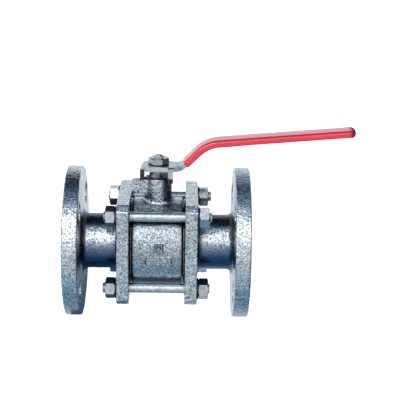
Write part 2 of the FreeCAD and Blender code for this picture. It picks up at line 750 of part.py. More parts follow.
def stem_fasteners():
    """The nut that loads the packing, and the nut and lock washer that hold the lever."""
    turns = {"stem_nut": 34, "lever_washer": 115, "lever_nut": -8}
    upright = {name: about((0, 0, 1), turn) for name, turn in turns.items()}
    top = "lever_bottom + lever_thickness"
    place(hex_nut("stem_nut", "stem_nut_height"), upright["stem_nut"], z="boss_top + stem_nut_gap")
    place(split_washer("lever_washer", "lever_washer_thickness"), upright["lever_washer"], z=top)
    place(hex_nut("lever_nut", "lever_nut_height"), upright["lever_nut"],
          z=top + " + lever_washer_thickness")


# ---------------------------------------------------------------- build, test and write

centre_body()
for side_name in SIDES:
    end_piece(side_name)
    body_gasket(side_name)
    seat(side_name)
ball()
stem()
stem_seals()
body_fasteners()
lever()
lever_sleeve()
stem_fasteners()
doc.recompute()

failed = [item.Label for item in doc.Objects if {"Invalid", "Error"} & set(item.State)]
bodies = [item for item in doc.Objects if item.TypeId == "PartDesign::Body"]
for item in bodies:
    if item.Shape.isNull() or not item.Shape.isValid() or len(item.Shape.Solids) != 1:
        failed.append(item.Label)
if failed:
    raise RuntimeError("failed objects: " + ", ".join(failed))

os.makedirs("parts", exist_ok=True)
for item in bodies:
    item.Shape.exportStep("parts/%s.step" % item.Label)
    size = item.Shape.BoundBox
    print("%-28s %9.1f mm3  %7.2f %7.2f %7.2f .. %7.2f %7.2f %7.2f" % (
        item.Label, item.Shape.Volume, size.XMin, size.YMin, size.ZMin, size.XMax, size.YMax, size.ZMax))
print(len(bodies), "nodes")
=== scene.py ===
"""Looks of a flanged three-piece ball valve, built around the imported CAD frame. Metres, +Z up the stem."""

import json
import math

import bmesh
import bpy
import numpy as np
from mathutils import Matrix, Vector, noise


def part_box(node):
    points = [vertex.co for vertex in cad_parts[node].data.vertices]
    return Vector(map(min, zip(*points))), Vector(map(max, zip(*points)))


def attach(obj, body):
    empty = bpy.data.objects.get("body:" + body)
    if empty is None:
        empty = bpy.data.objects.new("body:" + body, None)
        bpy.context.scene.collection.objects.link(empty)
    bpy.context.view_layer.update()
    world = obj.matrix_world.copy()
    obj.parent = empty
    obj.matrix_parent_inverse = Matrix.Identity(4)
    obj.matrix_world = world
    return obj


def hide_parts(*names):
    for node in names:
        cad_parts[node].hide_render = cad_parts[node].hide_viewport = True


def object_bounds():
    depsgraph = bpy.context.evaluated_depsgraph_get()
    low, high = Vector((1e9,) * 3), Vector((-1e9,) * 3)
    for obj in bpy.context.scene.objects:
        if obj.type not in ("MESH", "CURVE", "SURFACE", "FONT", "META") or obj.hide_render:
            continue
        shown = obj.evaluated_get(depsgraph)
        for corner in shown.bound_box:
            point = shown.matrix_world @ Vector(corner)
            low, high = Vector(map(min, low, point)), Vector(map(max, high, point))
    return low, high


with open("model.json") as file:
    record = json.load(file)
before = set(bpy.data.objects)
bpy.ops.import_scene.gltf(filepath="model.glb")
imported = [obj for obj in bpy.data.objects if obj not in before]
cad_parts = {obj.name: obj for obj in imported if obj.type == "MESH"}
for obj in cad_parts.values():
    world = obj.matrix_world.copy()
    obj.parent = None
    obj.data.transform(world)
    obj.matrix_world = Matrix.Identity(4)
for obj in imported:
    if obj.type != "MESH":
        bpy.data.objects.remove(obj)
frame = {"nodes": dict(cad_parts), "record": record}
cad_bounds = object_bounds()
scene = bpy.context.scene
NODES = frame["nodes"]
MM = 0.001

FLANGE_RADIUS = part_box("end_piece_right")[1].z
END_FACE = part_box("end_piece_right")[1].x
SLEEVE_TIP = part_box("lever_sleeve")[1].x


# ---------------------------------------------------------------- node helpers

class Graph:
    """A node tree with short calls: each returns the output socket that the next call needs."""

    def __init__(self, tree):
        self.tree = tree
        tree.nodes.clear()

    def node(self, kind, **settings):
        made = self.tree.nodes.new(kind)
        for name, setting in settings.items():
            setattr(made, name, setting)
        return made

    def link(self, socket, target):
        if isinstance(socket, bpy.types.NodeSocket):
            self.tree.links.new(socket, target)
        else:
            target.default_value = socket

    def math(self, operation, a, b=0.0, c=0.0):
        made = self.node("ShaderNodeMath", operation=operation)
        for socket, given in zip(made.inputs, (a, b, c)):
            self.link(given, socket)
        return made.outputs[0]

    def mix(self, share, a, b):
        made = self.node("ShaderNodeMix", data_type="RGBA", clamp_factor=True)
        self.link(share, made.inputs["Factor"])
        self.link(rgba(a), made.inputs[6])
        self.link(rgba(b), made.inputs[7])
        return made.outputs[2]

    def noise(self, vector, scale, detail=2.0, roughness=0.5):
        made = self.node("ShaderNodeTexNoise")
        self.link(vector, made.inputs["Vector"])
        made.inputs["Scale"].default_value = scale
        made.inputs["Detail"].default_value = detail
        made.inputs["Roughness"].default_value = roughness
        return made.outputs["Fac"]

    def voronoi(self, vector, scale, output="Distance"):
        made = self.node("ShaderNodeTexVoronoi")
        self.link(vector, made.inputs["Vector"])
        made.inputs["Scale"].default_value = scale
        return made.outputs[output]

    def remap(self, socket, low, high, to_low=0.0, to_high=1.0):
        made = self.node("ShaderNodeMapRange")
        self.link(socket, made.inputs["Value"])
        limits = {"From Min": low, "From Max": high, "To Min": to_low, "To Max": to_high}
        for name, number in limits.items():
            self.link(number, made.inputs[name])
        return made.outputs[0]

    def ramp(self, socket, stops):
        made = self.node("ShaderNodeValToRGB")
        elements = made.color_ramp.elements
        while len(elements) < len(stops):
            elements.new(0.5)
        for element, (place, colour) in zip(elements, stops):
            element.position = place
            element.color = rgba(colour)
        self.link(socket, made.inputs[0])
        return made.outputs[0]

    def attribute(self, name):
        return self.node("ShaderNodeAttribute", attribute_name=name).outputs["Fac"]

    def axes(self, vector):
        """The X, Y and Z of a vector."""
        made = self.node("ShaderNodeSeparateXYZ")
        self.link(vector, made.inputs[0])
        return made.outputs

    def recess(self, distance, dark, light):
        """0 in corners and narrow gaps, rising to 1 on open skin."""
        made = self.node("ShaderNodeAmbientOcclusion", samples=8)
        made.inputs["Distance"].default_value = distance
        return self.remap(made.outputs["AO"], dark, light)

    def stretched(self, vector, scale):
        made = self.node("ShaderNodeMapping")
        self.link(vector, made.inputs["Vector"])
        made.inputs["Scale"].default_value = scale
        return made.outputs[0]

    def bump(self, height, distance, strength=1.0, under=None):
        made = self.node("ShaderNodeBump")
        self.link(height, made.inputs["Height"])
        made.inputs["Distance"].default_value = distance
        made.inputs["Strength"].default_value = strength
        if under is not None:
            self.link(under, made.inputs["Normal"])
        return made.outputs[0]


def rgba(colour):
    """The colour with an alpha of 1, or the socket or four numbers that were given."""
    if isinstance(colour, (tuple, list)) and len(colour) == 3:
        return (*colour, 1.0)
    return colour


def surface(name, **sockets):
    """A material with one Principled shader; sockets are given by name or linked later."""
    material = bpy.data.materials.new(name)
    material.use_nodes = True
    graph = Graph(material.node_tree)
    shader = graph.node("ShaderNodeBsdfPrincipled")
    output = graph.node("ShaderNodeOutputMaterial")
    graph.link(shader.outputs[0], output.inputs[0])
    for socket, given in sockets.items():
        graph.link(rgba(given), shader.inputs[socket.replace("_", " ")])
    place = graph.node("ShaderNodeTexCoord").outputs["Object"]
    return material, graph, shader, place


# ---------------------------------------------------------------- materials

TURNING_FEED = 0.8 * MM


def cast_paint():
    """Aluminium paint on sand-cast iron, with bare turned faces where the mesh says so, and painted shade in
    its recesses and where the mesh's shade layers say.
    """
    material, graph, shader, place = surface("cast_paint", Metallic=1.0)
    grain = graph.noise(place, 760, 2.0, 0.62)
    fine = graph.noise(place, 2100, 2, 0.6)
    patches = graph.noise(place, 230, 4, 0.6)
    pits = graph.remap(graph.voronoi(place, 560), 0.12, 0.36)
    paint = graph.ramp(grain, [(0.30, (0.10, 0.12, 0.15)), (0.44, (0.50, 0.54, 0.57)),
                               (0.62, (0.90, 0.93, 0.95))])
    paint = graph.mix(graph.remap(patches, 0.40, 0.72, 0.0, 0.5), paint, (0.32, 0.37, 0.42))
    paint = graph.mix(graph.remap(pits, 0.0, 1.0, 0.75, 0.0), paint, (0.03, 0.04, 0.06))
    machined = graph.attribute("machined")
    _, y, z = graph.axes(place)
    squares = graph.math("ADD", graph.math("POWER", y, 2.0), graph.math("POWER", z, 2.0))
    radius = graph.math("SQRT", squares)
    grooves = graph.math("SINE", graph.math("MULTIPLY", radius, math.tau / TURNING_FEED))
    streaks = graph.noise(graph.stretched(place, (400, 2500, 2500)), 1.0, 2)
    bare = graph.ramp(streaks, [(0.3, (0.46, 0.47, 0.48)), (0.7, (0.66, 0.67, 0.68))])
    coloured = graph.mix(machined, paint, bare)
    # Painted shade: corners, gaps and recesses darken to near-black blue. The mesh's blue shade layer paints
    # the neck's underside dark blue, and its dark shade layer paints the neck's top, the neck's roots, one
    # side of the boss and the barrel darker.
    coloured = graph.mix(graph.recess(6 * MM, 0.48, 0.92), (0.012, 0.02, 0.035), coloured)
    coloured = graph.mix(graph.attribute("tarnish"), coloured, (0.035, 0.085, 0.19))
    coloured = graph.mix(graph.attribute("grime"), coloured, (0.010, 0.020, 0.038))
    graph.link(coloured, shader.inputs["Base Color"])
    graph.link(graph.remap(fine, 0.3, 0.7, 0.16, 0.26), shader.inputs["Roughness"])
    coarse = graph.bump(patches, 0.0007, 0.5)
    height = graph.math("ADD", grain, graph.math("MULTIPLY", fine, 0.2))
    height = graph.math("ADD", height, graph.math("MULTIPLY", pits, 0.25))
    height = graph.math("MULTIPLY", height, graph.math("SUBTRACT", 1.0, machined))
    turned = graph.math("MULTIPLY", graph.math("MULTIPLY", grooves, machined), 0.12)
    height = graph.math("ADD", height, turned)
    graph.link(graph.bump(height, 0.00024, 1.0, coarse), shader.inputs["Normal"])
    return material


def plated(name, dark, light, roughness, spots=0.25, face_shade=None):
    """Plated or bare steel with fine streaks, dull spots and soft unevenness.

    The last argument, where given, holds two heights of the normal between which faces are painted black:
    painted shade.
    """
    material, graph, shader, place = surface(name, Metallic=1.0)
    cloud = graph.noise(place, 420, 4, 0.6)
    fine = graph.noise(place, 2600, 2, 0.5)
    base = graph.ramp(cloud, [(0.32, dark), (0.66, light)])
    dull = graph.remap(graph.noise(place, 900, 5, 0.7), 0.56, 0.72, 0.0, spots)
    coloured = graph.mix(dull, base, dark)
    if face_shade:
        # Painted shade: faces turned between the two heights go black.
        facing = graph.axes(graph.node("ShaderNodeTexCoord").outputs["Normal"])
        black = graph.remap(facing["Z"], face_shade[0], face_shade[1], 0.0, 0.94)
        coloured = graph.mix(black, coloured, (0.008, 0.012, 0.016))
    graph.link(coloured, shader.inputs["Base Color"])
    spread = graph.math("MULTIPLY_ADD", cloud, 0.18, roughness - 0.06)
    graph.link(spread, shader.inputs["Roughness"])
    graph.link(graph.bump(fine, 0.00006, 0.5), shader.inputs["Normal"])
    return material


def galvanised():
    """Lever strap: dull zinc with faint crystal patches and specks, and painted shade on its tabs and bend.
    """
    material, graph, shader, place = surface("galvanised", Metallic=1.0)
    crystals = graph.node("ShaderNodeSeparateColor")
    graph.link(graph.voronoi(place, 420, output="Color"), crystals.inputs[0])
    cloud = graph.noise(place, 260, 5, 0.7)
    grain = graph.noise(place, 900, 2, 0.6)
    share = graph.math("MULTIPLY_ADD", crystals.outputs[0], 0.25, graph.math("MULTIPLY", cloud, 0.75))
    zinc = graph.ramp(share, [(0.25, (0.40, 0.44, 0.47)), (0.70, (0.78, 0.81, 0.83))])
    zinc = graph.mix(graph.remap(grain, 0.40, 0.30, 0.0, 0.6), zinc, (0.16, 0.18, 0.20))
    x, y, z = graph.axes(place)
    # Painted shade darkens the hook of the end tab, the foot of the front tab and the face of its bend.
    end_tab = graph.math("MULTIPLY", graph.remap(x, -9.6 * MM, -10.0 * MM),
                         graph.remap(z, 56.6 * MM, 55.6 * MM))
    tab_foot = graph.math("MULTIPLY", graph.remap(z, 50.6 * MM, 49.6 * MM),
                          graph.remap(x, 2.0 * MM, 4.0 * MM))
    bend = graph.math("MULTIPLY", graph.remap(y, -10.0 * MM, -10.6 * MM),
                      graph.remap(z, 54.3 * MM, 55.3 * MM, 0.0, 0.55))
    tab_shade = graph.math("MAXIMUM", graph.math("MAXIMUM", end_tab, tab_foot), bend)
    graph.link(graph.mix(graph.math("MULTIPLY", tab_shade, 0.94), zinc, (0.02, 0.024, 0.028)),
               shader.inputs["Base Color"])
    graph.link(graph.remap(share, 0.2, 0.8, 0.42, 0.32), shader.inputs["Roughness"])
    graph.link(graph.bump(grain, 0.00012, 0.8), shader.inputs["Normal"])
    return material


def vinyl():
    """Dipped red plastic: glossy skin, faint orange peel, and a duller nose with painted shade."""
    material, graph, shader, place = surface("red_vinyl")
    cloud = graph.noise(graph.stretched(place, (60, 160, 160)), 1.0, 3, 0.55)
    red = graph.ramp(cloud, [(0.3, (0.54, 0.008, 0.034)), (0.7, (0.70, 0.016, 0.058))])
    nose = graph.remap(graph.axes(place)["X"], SLEEVE_TIP - 6.0 * MM, SLEEVE_TIP - 2.5 * MM)
    # Painted shade: the nose's colour darkens to deep red-brown.
    graph.link(graph.mix(graph.math("MULTIPLY", nose, 0.75), red, (0.14, 0.006, 0.010)),
               shader.inputs["Base Color"])
    graph.link(graph.remap(nose, 0.0, 1.0, 1.0, 0.0), shader.inputs["Coat Weight"])
    graph.link(graph.remap(nose, 0.0, 1.0, 0.5, 0.02), shader.inputs["Specular IOR Level"])
    gloss = graph.remap(cloud, 0.3, 0.7, 0.16, 0.24)
    graph.link(graph.math("ADD", gloss, graph.math("MULTIPLY", nose, 0.45)), shader.inputs["Roughness"])
    shader.inputs["Coat IOR"].default_value = 1.75
    shader.inputs["Coat Roughness"].default_value = 0.12
    shader.inputs["Coat Tint"].default_value = (1.0, 0.55, 0.62, 1.0)
    shader.inputs["Specular Tint"].default_value = (1.0, 0.45, 0.55, 1.0)
    peel = graph.noise(place, 600, 3, 0.5)
    graph.link(graph.bump(peel, 0.00008, 0.5), shader.inputs["Normal"])
    return material


def soft_ring(name, low, high, roughness):
    """White or graphite sealing rings, faintly marbled."""
    material, graph, shader, place = surface(name)
    cloud = graph.noise(place, 500, 4, 0.6)
    graph.link(graph.ramp(cloud, [(0.3, low), (0.7, high)]), shader.inputs["Base Color"])
    graph.link(graph.remap(cloud, 0.3, 0.7, roughness, roughness + 0.12), shader.inputs["Roughness"])
    graph.link(graph.bump(graph.noise(place, 3000, 2), 0.00004, 0.4), shader.inputs["Normal"])
    return material


NUT_ZINC = ((0.34, 0.37, 0.40), (0.62, 0.65, 0.68), 0.15)

PAINT = cast_paint()
ZINC = plated("bright_zinc", *NUT_ZINC)
# Copies of the nut zinc with painted shade: faces turned down, or turned up, are painted black.
ZINC_PAINTED_SHADE_BELOW = plated("zinc_painted_shade_below", *NUT_ZINC, face_shade=(-0.30, -0.55))
ZINC_PAINTED_SHADE_ABOVE = plated("zinc_painted_shade_above", *NUT_ZINC, face_shade=(0.45, 0.62))
STUD_ZINC = plated("stud_zinc", (0.42, 0.45, 0.48), (0.76, 0.79, 0.82), 0.34)
DULL = plated("dull_steel", (0.06, 0.07, 0.08), (0.50, 0.53, 0.56), 0.20)
SPRING = plated("spring_steel", (0.02, 0.022, 0.026), (0.07, 0.075, 0.085), 0.42)
TURNED = plated("turned_steel", (0.42, 0.43, 0.44), (0.74, 0.75, 0.76), 0.26)
POLISHED = plated("polished_steel", (0.74, 0.75, 0.76), (0.86, 0.87, 0.88), 0.12, spots=0.08)
GALVANISED = galvanised()
VINYL = vinyl()
WHITE_RING = soft_ring("white_sealing_plastic", (0.78, 0.78, 0.75), (0.90, 0.90, 0.88), 0.42)
GRAPHITE = soft_ring("graphite_sheet", (0.035, 0.036, 0.04), (0.09, 0.092, 0.10), 0.5)


# ---------------------------------------------------------------- mesh helpers

def new_piece(name, mesh, body, material, replaced):
    """A visible piece that rides on a body and stands in for the CAD nodes it replaces."""
    piece = bpy.data.objects.new(name, mesh)
    scene.collection.objects.link(piece)
    mesh.materials.clear()
    mesh.materials.append(material)
    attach(piece, body)
    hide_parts(*replaced)
    return piece


def remeshed(node, voxel):
    """The node's solid as an even skin of small quads."""
    source = bpy.data.objects.new("skin_source", NODES[node].data.copy())
    scene.collection.objects.link(source)
    voxels = source.modifiers.new("voxels", "REMESH")
    voxels.mode = "VOXEL"
    voxels.voxel_size = voxel
    graph = bpy.context.evaluated_depsgraph_get()
    mesh = bpy.data.meshes.new_from_object(source.evaluated_get(graph))
    bpy.data.objects.remove(source)
    return mesh


def bridge(build, low, high):
    """Quads between two rings that have the same number of vertices."""
    count = len(low)
    for column in range(count):
        after = (column + 1) % count
        build.faces.new((low[column], low[after], high[after], high[column]))


def smooth_mesh(build, name):
    """The finished mesh of a bmesh, shaded smooth."""
    mesh = bpy.data.meshes.new(name)
    build.to_mesh(mesh)
    build.free()
    mesh.shade_smooth()
    return mesh


def soft_step(values, low, high):
    """0 below low, 1 above high, and an even slope-free blend between."""
    share = np.clip((values - low) / (high - low), 0, 1)
    return share * share * (3 - 2 * share)


# ---------------------------------------------------------------- castings

SKIN_WAVES = ((90, 0.10 * MM), (320, 0.10 * MM), (800, 0.09 * MM))
SKIN_SINK = 0.16 * MM
BORE = frame["record"]["mounts"][0]["dims"]["r_mm"] * MM
BORE_SKIN = 16 * MM


def skin_height(point):
    """Sand-cast unevenness at a point, from waves per metre and their heights, sunk into the solid."""
    return sum(height * noise.noise(point * waves) for waves, height in SKIN_WAVES) - SKIN_SINK


def cast_skin(name, node, voxel, machined_at, painted_shade_at):
    """A casting: the CAD solid remeshed and roughened, except where machined_at says it was cut."""
    mesh = remeshed(node, voxel)
    count = len(mesh.vertices)
    where = np.zeros(count * 3)
    mesh.vertices.foreach_get("co", where)
    where = where.reshape(-1, 3)
    normals = np.zeros(count * 3)
    mesh.vertex_normals.foreach_get("vector", normals)
    normals = normals.reshape(-1, 3)
    cut = machined_at(where)
    height = np.array([skin_height(Vector(point)) for point in where])
    where += normals * (height * (1 - cut))[:, None]
    mesh.vertices.foreach_set("co", where.ravel())
    # Besides the machined share, the layers hold the painted shade from the last function.
    for layer, share in {"machined": cut, **painted_shade_at(where, normals)}.items():
        values = mesh.attributes.new(layer, "FLOAT", "POINT").data
        values.foreach_set("value", share.astype(np.float32))
    mesh.shade_smooth()
    new_piece(name, mesh, "housing", PAINT, [node])


def end_piece_machined(where):
    """Bore, outer flange face and the joint with the body are bare metal."""
    radius = np.hypot(where[:, 1], where[:, 2])
    bore = 1 - soft_step(radius, BORE + 0.3 * MM, BORE + 0.8 * MM)
    face = soft_step(np.abs(where[:, 0]), END_FACE - 0.5 * MM, END_FACE - 0.2 * MM) * (
        radius < FLANGE_RADIUS - 1.2 * MM)
    inner = 1 - soft_step(np.abs(where[:, 0]), 18.9 * MM, 19.3 * MM)
    return np.clip(bore + face + inner, 0, 1)


def centre_body_machined(where):
    """Cavity and stem passage are bare metal."""
    radius = np.hypot(where[:, 1], where[:, 2])
    about_stem = np.hypot(where[:, 0], where[:, 1])
    cavity = 1 - soft_step(radius, 24.3 * MM, 24.8 * MM)
    passage = (1 - soft_step(about_stem, 7.7 * MM, 8.1 * MM)) * (where[:, 2] > 0)
    return np.clip(cavity + passage, 0, 1)


def end_piece_painted_shade(where, normals):
    """Painted shade: dark over the neck and at its roots, dark blue under it."""
    cheek_face, flange_back, flange_front = 27.5 * MM, 53.8 * MM, 60 * MM
    x, y, z = where.T
    radius = np.hypot(y, z)
    angle = np.degrees(np.arctan2(z, np.abs(y)))
    # Painted shade over the neck's top, and dark blue painted shade under it, set by the angle round the
    # flow axis.
    over = 0.85 * soft_step(angle, 42, 56)
    under = np.interp(-angle, [-18, -8, 0, 9, 18, 40], [0, 0.45, 0.68, 0.85, 0.96, 1.0])
    outside = radius > BORE_SKIN
    neck = outside * (1 - soft_step(radius, 21.0 * MM, 23.5 * MM)) * (np.abs(x) > cheek_face)
    # Painted shade at the roots of the necks: by the left flange and by the right cheek.
    left_root = outside * (x < 0) * (radius < 26 * MM) * (1 - soft_step(x, -53.5 * MM, -50.5 * MM))
    right_root = outside * (x > 28.4 * MM) * (radius < 21.5 * MM) * (
        1 - soft_step(x, 29.5 * MM, 33 * MM))
    dark = np.maximum(neck * over, 0.88 * (left_root + right_root) * (x > -flange_back))
    behind_face = np.abs(x) < flange_front
    return {"grime": np.clip(dark, 0, 1) * behind_face, "tarnish": neck * under * behind_face}


def centre_body_painted_shade(where, normals):
    """Painted shade: darker on the side of the boss that faces +X, and darker bands on the barrel set by the
    angle round the flow axis.
    """
    _, y, z = where.T
    boss_top = 48.5 * MM
    boss = soft_step(z, 30 * MM, 33 * MM) * (np.abs(z - boss_top) > 0.3 * MM)
    boss = 0.80 * boss * soft_step(normals[:, 0], 0.28, 0.50)
    angle = np.degrees(np.arctan2(z, np.abs(y)))
    barrel = np.interp(angle, [-40, -25, -5, 5, 28, 36, 42], [0, 0.12, 0.30, 0.22, 0.36, 0.25, 0])
    barrel *= soft_step(np.hypot(y, z), 31.2 * MM, 31.7 * MM)
    return {"grime": np.maximum(boss, barrel)}


cast_skin("end_casting_left", "end_piece_left", 0.6 * MM, end_piece_machined, end_piece_painted_shade)
cast_skin("end_casting_right", "end_piece_right", 0.6 * MM, end_piece_machined, end_piece_painted_shade)
cast_skin("centre_casting", "centre_body", 0.45 * MM, centre_body_machined, centre_body_painted_shade)


# ---------------------------------------------------------------- threads

PITCH = 1.25 * MM
THREAD_DEPTH = 0.68 * MM


def thread_cut(turns):
    """Depth share of a rounded V thread at a number of turns along it."""
    wave = abs((turns % 1.0) * 2 - 1)
    return min(1.0, max(0.0, (wave - 0.12) / 0.76))


def threaded_rod(radius_at, thread_at, length_from, length_to, clip=None, around=40, step=0.14 * MM):
    """A rod along Z of radius_at(z), with a helical groove that is thread_at(z) of the full depth.

    clip, where it is given, limits the radius at an angle and a height.
    """
    build = bmesh.new()
    rows = max(2, int(round((length_to - length_from) / step)))
    rings = []
    for row in range(rows + 1):
        z = length_from + (length_to - length_from) * row / rows
        ring = []
        for column in range(around):
            angle = math.tau * column / around
            groove = thread_at(z) * THREAD_DEPTH * thread_cut(z / PITCH - column / around)
            radius = radius_at(z) - groove
            if clip is not None:
                radius = clip(radius, angle, z)
            ring.append(build.verts.new((radius * math.cos(angle), radius * math.sin(angle), z)))
        rings.append(ring)
    for low, high in zip(rings, rings[1:]):
        bridge(build, low, high)
    build.faces.new(list(reversed(rings[0])))
    build.faces.new(rings[-1])
    build.normal_update()
    return smooth_mesh(build, "rod")


def stud_pieces():
    """Rolled-thread studs: thinner plain shank, threads at both ends, chamfered tips."""
    thread_radius = 3.95 * MM
    shank_radius = 3.4 * MM
    thread_length = 18 * MM
    chamfer = 0.9 * MM
    for level in ("upper", "lower"):
        for depth in ("front", "back"):
            node = "body_stud_%s_%s" % (level, depth)
            low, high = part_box(node)
            centre = (low + high) / 2
            half = (high.x - low.x) / 2

            def radius_at(z):
                from_end = half - abs(z)
                if from_end > thread_length:
                    blend = min(1.0, (from_end - thread_length) / (0.8 * MM))
                    return thread_radius + (shank_radius - thread_radius) * blend
                return thread_radius - max(0.0, chamfer - from_end)

            def thread_at(z):
                from_end = half - abs(z)
                run_out = min(1.0, max(0.0, (thread_length - from_end) / MM))
                return run_out * min(1.0, from_end / chamfer)

            mesh = threaded_rod(radius_at, thread_at, -half, half, step=0.18 * MM, around=32)
            mesh.transform(Matrix.Translation(centre) @ Matrix.Rotation(math.pi / 2, 4, "Y"))
            new_piece(node + "_threaded", mesh, "housing", STUD_ZINC, [node])


def stem_piece():
    """Stem above its collar, with a threaded top between two flats and a domed end."""
    low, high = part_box("stem")
    top = high.z
    lever_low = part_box("lever_washer")[0].z - 3.4 * MM
    tang_top, collar_top, thread_start = 20.2 * MM, 23.4 * MM, 48.3 * MM
    collar_radius, shaft_radius, thread_radius, half_flats = 7.0 * MM, 5.0 * MM, 3.95 * MM, 3.0 * MM
    dome_start = top - 1.3 * MM
    tang_size = Vector((7 * MM, 12 * MM, 6 * MM))

    def radius_at(z):
        if z < collar_top:
            return collar_radius
        if z < thread_start:
            return shaft_radius
        return thread_radius - 0.9 * max(0.0, z - dome_start) ** 1.4 * 28

    def thread_at(z):
        return 1.0 if thread_start + 0.3 * MM < z < top - 0.4 * MM else 0.0

    def clip(radius, angle, z):
        across = abs(math.sin(angle))
        if z < lever_low or across <= 1e-6:
            return radius
        return min(radius, half_flats / across)

    mesh = threaded_rod(radius_at, thread_at, tang_top, top, clip=clip, around=64)
    build = bmesh.new()
    build.from_mesh(mesh)
    tang = bmesh.ops.create_cube(build, size=1)["verts"]
    bmesh.ops.scale(build, vec=tang_size, verts=tang)
    bmesh.ops.translate(build, vec=(0, 0, low.z + tang_size.z / 2), verts=tang)
    build.to_mesh(mesh)
    build.free()
    new_piece("stem_threaded", mesh, "stem_and_lever", TURNED, ["stem"])


stud_pieces()
stem_piece()


# ---------------------------------------------------------------- CAD nodes that keep their shape

def dress(node, material, bevel=0.0, segments=2):
    """Material, and a small rounding of the sharp edges, on a CAD node that stays."""
    piece = NODES[node]
    piece.data.materials.clear()
    piece.data.materials.append(material)
    if bevel:
        edge = piece.modifiers.new("edge_rounding", "BEVEL")
        edge.width = bevel
        edge.segments = segments
        edge.limit_method = "ANGLE"
        edge.angle_limit = math.radians(25)


for node in NODES:
    if node.startswith("stud_nut"):
        # The upper back nuts get painted shade on their undersides, the lower nuts on their tops.
        face_shade = ZINC_PAINTED_SHADE_BELOW if node.endswith("upper_back") else ZINC
        dress(node, ZINC_PAINTED_SHADE_ABOVE if "lower" in node else face_shade, 0.12 * MM)
    elif node.startswith("stud_washer"):
        dress(node, SPRING, 0.1 * MM)
    elif node.startswith("seat") or node.startswith("stem_packing"):
        dress(node, WHITE_RING, 0.08 * MM)
    elif node.startswith("body_gasket"):
        dress(node, GRAPHITE, 0.05 * MM)
    elif node.startswith("disc_spring"):
        dress(node, SPRING)
dress("stem_thrust_washer", WHITE_RING)
dress("gland_ring", TURNED, 0.1 * MM)
dress("ball", POLISHED, 0.15 * MM)
dress("stem_nut", DULL, 0.12 * MM)
dress("lever_nut", ZINC, 0.12 * MM)
dress("lever_washer", SPRING, 0.1 * MM)
dress("lever", GALVANISED, 0.4 * MM, 3)


# ---------------------------------------------------------------- sleeve

def sleeve_path():
    """Points and slopes of the strap's middle line, from the sleeve's lip to its tip."""
    strap_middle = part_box("lever_washer")[0].z - 1.7 * MM
    rise, slope = math.radians(44.7), math.radians(5.1)
    lower_bend, upper_bend, bend_radius = 16.1 * MM, 34.1 * MM, 24.0 * MM
    start, tip = 19.0 * MM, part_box("lever_sleeve")[1].x - 0.25 * MM
    corner = strap_middle + (upper_bend - lower_bend) * math.tan(rise)
    setback = bend_radius * math.tan((rise - slope) / 2)
    rise_end = Vector((upper_bend - setback * math.cos(rise), 0, corner - setback * math.sin(rise)))
    first = Vector((start, 0, strap_middle + (start - lower_bend) * math.tan(rise)))
    centre = rise_end + bend_radius * Vector((math.sin(rise), 0, -math.cos(rise)))
    arm_start = centre + bend_radius * Vector((-math.sin(slope), 0, math.cos(slope)))
    arm_end = Vector((tip, 0, arm_start.z + (tip - arm_start.x) * math.tan(slope)))
    rise_steps, bend_steps, arm_steps, nose_steps = 14, 30, 150, 24
    path = [(first.lerp(rise_end, i / rise_steps), rise) for i in range(rise_steps)]
    for i in range(bend_steps):
        angle = rise + (slope - rise) * i / (bend_steps - 1)
        path.append((centre + bend_radius * Vector((-math.sin(angle), 0, math.cos(angle))), angle))
    path += [(arm_start.lerp(arm_end, i / arm_steps), slope) for i in range(1, arm_steps)]
    last = path.pop()[0]
    path += [(last.lerp(arm_end, 1 - (1 - i / nose_steps) ** 2), slope) for i in range(nose_steps + 1)]
    return path


def quarter_round(left, length):
    """0 at the tip, rising along a quarter ellipse to 1 at a length from it."""
    return math.sqrt(1 - (1 - min(left, length) / length) ** 2)


def sleeve_size(along, left):
    """Half width and half height of the grip, at a distance from its lip and from its tip."""
    lip = 1 - soft_step(along, 0.0, 0.8 * MM)
    over = quarter_round(left, 2.6 * MM)
    width = 7.95 * MM * (0.06 + 0.94 * quarter_round(left, 4.0 * MM))
    height = 2.65 * MM * (0.16 + 0.84 * over)
    return width - 0.3 * MM * (1 - over) - 0.35 * MM * lip, height - 0.30 * MM * lip


def sleeve_section(point, slope, width, height, swell):
    """Points round one section: a rectangle with rounded corners, the lower ones rounder on the arm."""
    corner_points = 18
    up = Vector((-math.sin(slope), 0, math.cos(slope)))
    top_round = 2.3 * MM
    under_round = (1.3 + 0.9 * soft_step(point.x, 45 * MM, 70 * MM)) * MM
    corners = ((1, 1, top_round), (-1, 1, top_round), (-1, -1, under_round), (1, -1, under_round))
    section = []
    for corner, (y_sign, z_sign, largest) in enumerate(corners):
        rounding = min(largest, 0.92 * width, 0.92 * height)
        for step in range(corner_points):
            angle = math.pi / 2 * (corner + step / (corner_points - 1))
            across = y_sign * (width - rounding) + rounding * math.cos(angle)
            over = z_sign * (height + swell - rounding) + rounding * math.sin(angle)
            section.append(point + Vector((0, across, 0)) + up * over)
    return section


def lip_rings(build, rim, point, slope):
    """Two rings that turn the open lip inward and down to the strap."""
    strap_edge, strap_face = 6.75 * MM, 1.75 * MM
    up = Vector((-math.sin(slope), 0, math.cos(slope)))
    forward = Vector((math.cos(slope), 0, math.sin(slope)))
    rings = []
    for depth, share in ((0.0, 0.90), (1.5 * MM, 0.88)):
        ring = []
        for vertex in rim:
            offset = vertex.co - point
            y = max(-strap_edge, min(strap_edge, offset.y * share))
            z = max(-strap_face, min(strap_face, offset.dot(up) * share))
            ring.append(build.verts.new(point + forward * depth + Vector((0, y, 0)) + up * z))
        rings.append(ring)
    return rings


